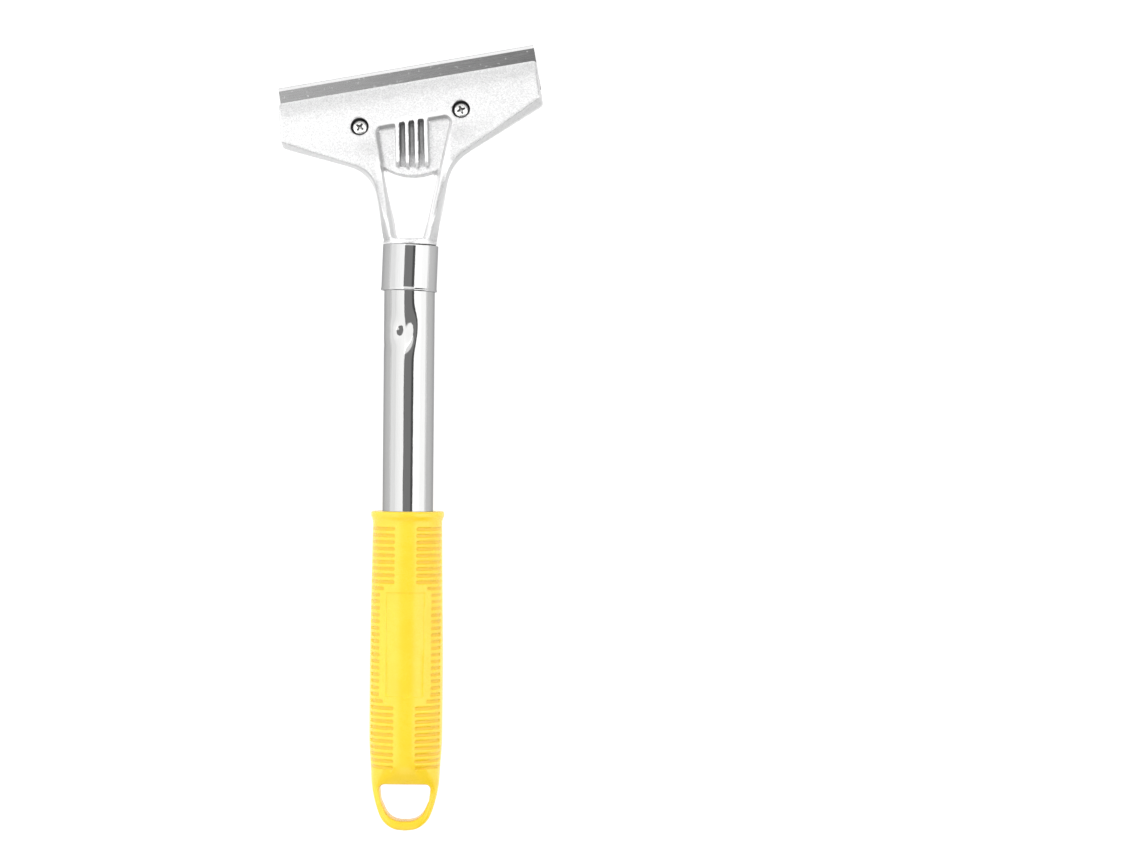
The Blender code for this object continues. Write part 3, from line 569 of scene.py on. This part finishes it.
def make_tube(steps=176):
    ys = [FERRULE_TOP, FERRULE_TOP - 0.15, FERRULE_TOP - 0.4, -6.0, -12.0, -17.0]
    y = -19.0
    while y > -51.0:
        ys.append(y)
        y -= 0.4
    ys += [-51.5 - 3.5 * i for i in range(40)] + [-190.6, -190.85, TUBE_END]
    rings = []
    for i, y in enumerate(ys):
        edge = 0.25 * (1 - min(1, abs(y - ys[0]) / 0.4)) + 0.25 * (1 - min(1, abs(y - TUBE_END) / 0.4))
        ring = []
        for j in range(steps):
            a = 2 * math.pi * j / steps
            r = TUBE_R - edge
            if math.cos(a) > 0.2:
                r -= dent(r * math.sin(a), y)
            ring.append(handle_point(r * math.sin(a), y, r * math.cos(a)))
        rings.append(ring)
    for y in [TUBE_END, -160.0, -120.0, -80.0, -52.0] + [-50.0 + 1.0 * i for i in range(31)] + [-10.0, FERRULE_TOP]:
        ring = []
        for j in range(steps):
            a = 2 * math.pi * j / steps
            r = TUBE_R - TUBE_WALL
            if math.cos(a) > 0.2:
                r -= dent(TUBE_R * math.sin(a), y)
            ring.append(handle_point(r * math.sin(a), y, r * math.cos(a)))
        rings.append(ring)
    ob = finish_mesh(skin(rings, closed=True), "tube", 40.0)
    wear(ob, TUBE)
    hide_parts("handle_tube")
    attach(ob, "frame")
    return ob


def lathe(profile, steps, name, matrix=None, closed=True, angle=32.0):
    rings = [[Vector((r * math.sin(2 * math.pi * j / steps), r * math.cos(2 * math.pi * j / steps), z)) * MM for j in range(steps)]
             for r, z in profile]
    return finish_mesh(skin(rings, closed), name, angle, matrix)


def make_ferrule():
    top, end = FERRULE_TOP, FERRULE_TOP - FERRULE_LENGTH
    r = FERRULE_R
    profile = [(10.06, top + 0.1), (10.10, top + 0.2), (10.2, top + 0.26), (r - 0.10, top + 0.26), (r - 0.04, top + 0.22), (r, top + 0.12),
               (r, top - 0.4), (r, top - 4.0), (r, top - 9.0), (r, end + 1.5), (r + 0.02, end + 1.15), (r + 0.09, end + 0.85),
               (r + 0.16, end + 0.6), (r + 0.18, end + 0.42), (r + 0.13, end + 0.2), (r + 0.0, end + 0.05), (r - 0.2, end),
               (10.3, end + 0.02), (10.14, end + 0.08), (10.06, end + 0.2)]
    middle = Matrix.Translation((0.0, (FERRULE_TOP - FERRULE_LENGTH / 2) * MM, 0.0))
    lean = middle @ Matrix.Rotation(FERRULE_LEAN, 4, "Z") @ middle.inverted()
    along = Matrix.Translation(NECK * MM) @ lean @ Matrix.Rotation(-math.pi / 2, 4, "X")
    ob = lathe(profile, 176, "ferrule", along)
    wear(ob, FERRULE)
    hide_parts("neck_ferrule")
    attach(ob, "frame")
    return ob


# ------------------------------------------------------------------ grip
GRIP = [  # y, half width, half thickness, squareness
    (-101.7, 13.45, 13.45, 2.0), (-101.9, 13.75, 13.75, 2.0), (-102.5, 13.95, 13.95, 2.0), (-103.5, 13.92, 13.92, 2.0),
    (-104.3, 13.6, 13.6, 2.0), (-105.2, 13.3, 13.3, 2.0), (-106.6, 13.2, 13.2, 2.0), (-116.0, 13.35, 13.35, 2.0),
    (-127.0, 13.5, 13.5, 2.0), (-146.0, 13.8, 13.8, 2.0), (-160.0, 13.95, 13.95, 2.0), (-188.0, 13.9, 13.9, 2.0),
    (-194.0, 13.6, 13.6, 2.0), (-198.0, 13.3, 12.9, 2.05), (-200.5, 13.15, 11.7, 2.15), (-203.0, 13.05, 9.9, 2.35),
    (-204.6, 12.95, 8.4, 2.6), (-206.0, 12.78, 7.0, 3.0), (-207.5, 12.55, 5.9, 3.6), (-209.0, 12.3, 5.2, 4.2),
    (-212.0, 11.6, 4.75, 5.0), (-215.0, 10.75, 4.7, 5.0), (-217.6, 9.8, 4.7, 5.0), (-219.4, 8.8, 4.7, 5.0), (-220.9, 7.5, 4.65, 5.0),
    (-222.2, 5.8, 4.35, 5.0), (-223.1, 3.8, 3.7, 4.0), (-223.35, 2.2, 3.1, 3.0), (-223.45, 1.0, 2.6, 2.5),
]
GROOVE_PITCH = 2.512
GROOVE_ROWS = [-108.2 - GROOVE_PITCH * i for i in range(37)]
GROOVE_HALF, GROOVE_DEPTH = 0.66, 0.5
PANEL_Y, PANEL_X, PANEL_DEPTH = (-132.3, -171.6), 7.2, 0.28


def groove_ends(i):
    """Inner and outer x of row i's grooves."""
    if 10 <= i <= 25:
        return 10.2, 12.95
    if i in (9, 26):
        return 8.7, 12.95
    return 4.65, 12.95


def grip_low(s, y, radius):
    """How deep the surface lies at arc length s from the middle of the front or back."""
    out = 0.0
    for i in (int((-108.2 - y) / GROOVE_PITCH + 0.5),):
        if 0 <= i < len(GROOVE_ROWS):
            a, b = (radius * math.asin(min(0.97, x / radius)) for x in groove_ends(i))
            dx = max(0.0, a - s, s - b)
            dist = math.hypot(dx, y - GROOVE_ROWS[i])
            out = GROOVE_DEPTH * step((GROOVE_HALF + 0.04 - dist) / 0.26)
    return out


def panel_low(s, y, radius):
    half = radius * math.asin(PANEL_X / radius)
    inside = min(half - s, PANEL_Y[0] - y, y - PANEL_Y[1])
    return PANEL_DEPTH * step(inside / 0.22 + 0.5)


def grip_columns():
    """Angles from the front's middle, close together where grooves and panel end."""
    quarter = {0.0, 6.0, 12.0, 24.0, 35.5, 54.0, 60.0, 66.0, 78.0, 84.0, 90.0}
    for x, r in ((4.65, 13.6), (8.7, 13.9), (10.2, 13.9)):
        for d in (-0.8, -0.62, -0.5, -0.38, -0.2, 0.1, 0.6):
            quarter.add(math.degrees(math.asin(x / r) + d / r))
    for d in (-0.5, 0.0, 0.2, 0.38, 0.5, 0.62, 0.8):
        quarter.add(math.degrees(math.asin(12.95 / 13.9) + d / 13.9))
    for d in (-0.14, -0.05, 0.05, 0.14):
        quarter.add(math.degrees(math.asin(PANEL_X / 13.9) + d / 13.9))
    quarter = sorted(q for q in quarter if 0 <= q <= 90)
    half = quarter + [180 - q for q in reversed(quarter[:-1])]
    return [math.radians(a) for a in half + [360 - q for q in reversed(half[1:-1])]]


def loop_hole():
    return [(-9.9, LOOP_TOP, 1.9, 7), (-9.2, -212.0, 6.0, 5), (-5.6, LOOP_BOTTOM - 0.1, 7.0, 8),
            (5.6, LOOP_BOTTOM - 0.1, 7.0, 8), (9.2, -212.0, 6.0, 5), (9.9, LOOP_TOP, 1.9, 7)]


def make_grip():
    angles = grip_columns()
    ys = [-101.7, -101.78, -101.9, -102.1, -102.4, -102.8, -103.3, -103.8, -104.2, -104.6, -105.0, -105.5, -106.2]
    for c in GROOVE_ROWS:
        ys += [c + d for d in (1.27, 0.74, 0.62, 0.50, 0.25, -0.25, -0.50, -0.62, -0.74)]
    ys += [PANEL_Y[0] + d for d in (-0.1, 0.1)] + [PANEL_Y[1] + d for d in (-0.1, 0.1)]
    ys += [-200.4 - 0.45 * i for i in range(1, 42)] + [-219.3, -219.8, -220.3, -220.8, -221.3, -221.7, -222.1, -222.5, -222.8, -223.0,
                                                     -223.15, -223.28, -223.38, GRIP_END]
    ys = sorted(set(round(y, 3) for y in ys), reverse=True)
    rings, painted_shade_values = [], []
    for y in reversed(ys):
        a, b, n = lookup(GRIP, y)
        ring, low = [], []
        for t in angles:
            s, c = math.sin(t), math.cos(t)
            x = a * math.copysign(abs(s) ** (2 / n), s)
            z = b * math.copysign(abs(c) ** (2 / n), c)
            arc = abs(math.asin(max(-1.0, min(1.0, x / a)))) * a
            d = grip_low(arc, y, a)
            p = panel_low(arc, y, a) if y > -175 and c > 0 else 0.0
            long = math.hypot(x, z)
            k = 1 - (d + p) / long
            ring.append(handle_point(x * k, y, z * k))
            # painted shade in the grooves, as deep as the groove
            low.append(d / GROOVE_DEPTH)
        rings.append(ring)
        painted_shade_values += low
    for r, y in ((12.9, -101.66), (11.6, -101.62), (10.5, -101.7), (10.2, -101.85), (BORE_R, -102.2), (BORE_R, -130.0), (BORE_R, -160.0),
                 (BORE_R, GRIP_BORE_END)):
        rings.append([handle_point(r * math.sin(t), y, r * math.cos(t)) for t in angles])
        painted_shade_values += [0.0] * len(angles)
    bm = skin(rings)
    layer = bm.verts.layers.float.new("low")
    bm.verts.ensure_lookup_table()
    for v, low in zip(bm.verts, painted_shade_values):
        v[layer] = low
    grip = finish_mesh(bm, "grip", 40.0)

    levels = [(-22.0, -0.7), (-5.0, -0.62), (-4.72, -0.42), (-4.2, -0.12), (-3.4, 0.0),
              (3.4, 0.0), (4.2, -0.12), (4.72, -0.42), (5.0, -0.62), (22.0, -0.7)]
    hole = finish_mesh(skin([[handle_point(x, y, z) for x, y in rounded(loop_hole(), d)] for z, d in levels]), "hole")
    subtract(grip, hole)
    walls = [0.0] * len(grip.data.vertices)
    # painted shade on the loop hole's inner walls, added to the grooves' painted shade
    grip.data.attributes["low"].data.foreach_get("value", walls)
    for i, v in enumerate(grip.data.vertices):
        x, y, z = v.co / MM - NECK
        if LOOP_BOTTOM - 1.2 < y < LOOP_TOP + 1.2 and abs(z) < 4.55 and abs(x) < 10.4 and v.normal.y * (y + 212.5) <= 0.0 and v.normal.x * x <= 0.0:
            walls[i] = 1.0
    grip.data.attributes["low"].data.foreach_set("value", walls)
    grip.data.shade_smooth()
    grip.data.set_sharp_from_angle(angle=math.radians(50))
    wear(grip, YELLOW)
    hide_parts("grip_sleeve")
    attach(grip, "frame")
    return grip


# ------------------------------------------------------------------ screws
def make_screw(name, node, uv, turn, body):
    head = [(0.35, 2.80), (0.8, 2.795), (1.4, 2.77), (1.9, 2.72), (2.3, 2.65), (2.62, 2.53), (2.86, 2.3), (2.97, 2.0), (3.0, 1.6), (3.0, 0.75),
            (2.92, 0.63), (2.7, 0.6), (1.9, 0.6), (1.75, 0.45)]
    steps, rings = 72, []
    for r, z in head:
        rings.append([Vector((r * math.sin(2 * math.pi * j / steps), r * math.cos(2 * math.pi * j / steps), z)) * MM for j in range(steps)])
    z = 0.35
    while z > -5.0:
        ring = []
        for j in range(steps):
            a = 2 * math.pi * j / steps
            r = 1.75 - 0.17 * (0.5 - 0.5 * math.cos(2 * math.pi * (z / 0.7 + j / steps)))
            ring.append(Vector((r * math.sin(a), r * math.cos(a), z)) * MM)
        rings.append(ring)
        z -= 0.1
    for r, z in ((1.55, -5.1), (1.35, -5.35), (1.0, -5.4), (0.3, -5.4)):
        rings.append([Vector((r * math.sin(2 * math.pi * j / steps), r * math.cos(2 * math.pi * j / steps), z)) * MM for j in range(steps)])
    at = HEAD @ Matrix.Translation((uv[0] * MM, uv[1] * MM, 0))
    ob = finish_mesh(skin(rings), name, 40.0, at)

    def star(arm, half, neck):
        pts = []
        for q in range(4):
            a = q * math.pi / 2
            for x, y in ((arm * 0.93, -half), (arm, -half * 0.5), (arm, half * 0.5), (arm * 0.93, half), (neck + 0.25, half * 1.15), (neck, neck)):
                pts.append((x * math.cos(a) - y * math.sin(a), x * math.sin(a) + y * math.cos(a)))
        return pts

    levels = [(1.15, star(0.55, 0.18, 0.24)), (1.6, star(1.15, 0.30, 0.42)), (2.5, star(1.62, 0.37, 0.52)), (3.1, star(1.80, 0.42, 0.60))]
    cut = finish_mesh(skin([[Vector((x, y, z)) * MM for x, y in pts] for z, pts in levels]), "cut", 30.0,
                      at @ Matrix.Rotation(math.radians(turn), 4, "Z"))
    subtract(ob, cut)
    ob.data.shade_smooth()
    ob.data.set_sharp_from_angle(angle=math.radians(32))
    back = at.inverted()
    # marks painted shade on the cross recess's walls and floor, and on the shank
    low = ob.data.attributes.new("low", "FLOAT", "FACE")
    local = [(back @ f.center) / MM for f in ob.data.polygons]
    steep = [abs((back.to_3x3() @ f.normal).z) < 0.97 for f in ob.data.polygons]
    low.data.foreach_set("value", [1.0 if (math.hypot(c.x, c.y) < 1.95 and c.z < 2.78 and s) or c.z < 1.2 and math.hypot(c.x, c.y) < 1.6
                                   else 0.0 for c, s in zip(local, steep)])
    wear(ob, SCREW)
    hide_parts(node)
    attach(ob, body)
    return ob


make_tube()
make_ferrule()
make_grip()
make_screw("screw_left", "clamp_screw_left", SCREWS_UV[0], SCREW_TURN[0], "left_screw")
make_screw("screw_right", "clamp_screw_right", SCREWS_UV[1], SCREW_TURN[1], "right_screw")

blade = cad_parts["scraper_blade"]
wear(blade, STEEL)


# ------------------------------------------------------------------ floor, light, camera
def make_floor():
    bm = bmesh.new()
    bmesh.ops.create_grid(bm, x_segments=4, y_segments=4, size=6.0)
    me = bpy.data.meshes.new("floor")
    bm.to_mesh(me)
    bm.free()
    ob = add_object("floor", me)
    ob.location.z = -2.2 * MM                      # low enough for the blade and its clamp plate to open above it
    k = Look("floor_white")
    grain = k.noise(k.place(scale=(1, 1, 1)), 40.0, 2.0)
    k.set(Base_Color=k.mix(grain, (0.31, 0.31, 0.31), (0.33, 0.33, 0.33)), Roughness=0.9, Specular_IOR_Level=0.05,
          Emission_Color=(1.0, 1.0, 1.0), Emission_Strength=0.82)
    wear(ob, k)
    return ob


def softbox(name, at, look_at, size, radiance, color=(1, 1, 1)):
    li = bpy.data.lights.new(name, "AREA")
    li.shape, li.size, li.size_y = "RECTANGLE", size[0], size[1]
    li.energy = radiance * math.pi * size[0] * size[1]
    li.color = color
    ob = bpy.data.objects.new(name, li)
    bpy.context.scene.collection.objects.link(ob)
    ob.location = at
    z = (Vector(at) - Vector(look_at)).normalized()
    y = (Vector((0, 1, 0)) - z * z.y).normalized()
    ob.rotation_euler = Matrix((y.cross(z), y, z)).transposed().to_euler()
    ob.visible_camera = False
    return ob


make_floor()


def side_box(name, a0, a1, radiance, length, edge=2.3):
    """A long panel beside the tool, from a0 to a1 degrees from overhead, seen from the handle."""
    mid, half = math.radians((a0 + a1) / 2), math.radians(abs(a1 - a0) / 2)
    away = edge * math.cos(half)
    softbox(name, (away * math.sin(mid), -0.1, away * math.cos(mid)), (0.0, -0.1, 0.0), (2 * away * math.tan(half), length), radiance)


side_box("left_high", -20, -58, 1.95, 3.2)
side_box("left_low", -58, -84, 1.75, 3.2)
side_box("left_end", -84, -94, 1.40, 3.2)
side_box("right_high", 24, 56, 2.50, 2.0)
side_box("right_low", 56, 83, 2.40, 2.0)
side_box("right_end", 83, 94, 1.70, 2.0)
softbox("box_far", (0.05, 0.86, 1.91), (0.0, 0.12, 0.0), (1.8, 0.88), 1.35)
softbox("box_rim", (0.0, 2.05, 0.80), (0.0, 0.12, 0.0), (3.0, 0.70), 1.12)
softbox("box_near", (0.0, -2.10, 1.30), (0.0, -0.1, 0.0), (1.4, 1.2), 1.40)


def studio_world():
    """A dim room, darkest near the handle's end and at the panels' inner frames."""
    world = bpy.data.worlds.new("studio")
    bpy.context.scene.world = world
    world.use_nodes = True
    t = world.node_tree
    xyz = t.nodes.new("ShaderNodeSeparateXYZ")
    t.links.new(t.nodes.new("ShaderNodeTexCoord").outputs["Generated"], xyz.inputs[0])

    def ramp(value, *limits):
        n = t.nodes.new("ShaderNodeMapRange")
        n.interpolation_type = "SMOOTHSTEP"
        t.links.new(value, n.inputs[0])
        for i, v in enumerate(limits):
            n.inputs[i + 1].default_value = v
        return n.outputs[0]

    total = None
    for part in (ramp(xyz.outputs[1], 0.2, 0.9, 0.0, 0.5), ramp(xyz.outputs[2], 0.5, 0.95, 0.15, 0.42),
                 ramp(xyz.outputs[0], 0.19, 0.28, 0.0, -0.27), ramp(xyz.outputs[0], -0.33, -0.27, -0.14, 0.0)):
        if total is None:
            total = part
            continue
        add = t.nodes.new("ShaderNodeMath")
        add.operation = "ADD"
        t.links.new(total, add.inputs[0])
        t.links.new(part, add.inputs[1])
        total = add.outputs[0]
    t.links.new(total, t.nodes["Background"].inputs["Color"])


studio_world()

cam_data = bpy.data.cameras.new("camera")
cam_data.lens, cam_data.sensor_width = 95.85, 36.0
cam_data.clip_start, cam_data.clip_end = 0.01, 50.0
cam = bpy.data.objects.new("camera", cam_data)
bpy.context.scene.collection.objects.link(cam)
cam.location = (0.06265, 0.00327, 1.17395)
cam.rotation_euler = (0.0, 0.0, 0.00855)
bpy.context.scene.camera = cam
bpy.context.scene.view_settings.view_transform = "Standard"

bpy.context.view_layer.update()
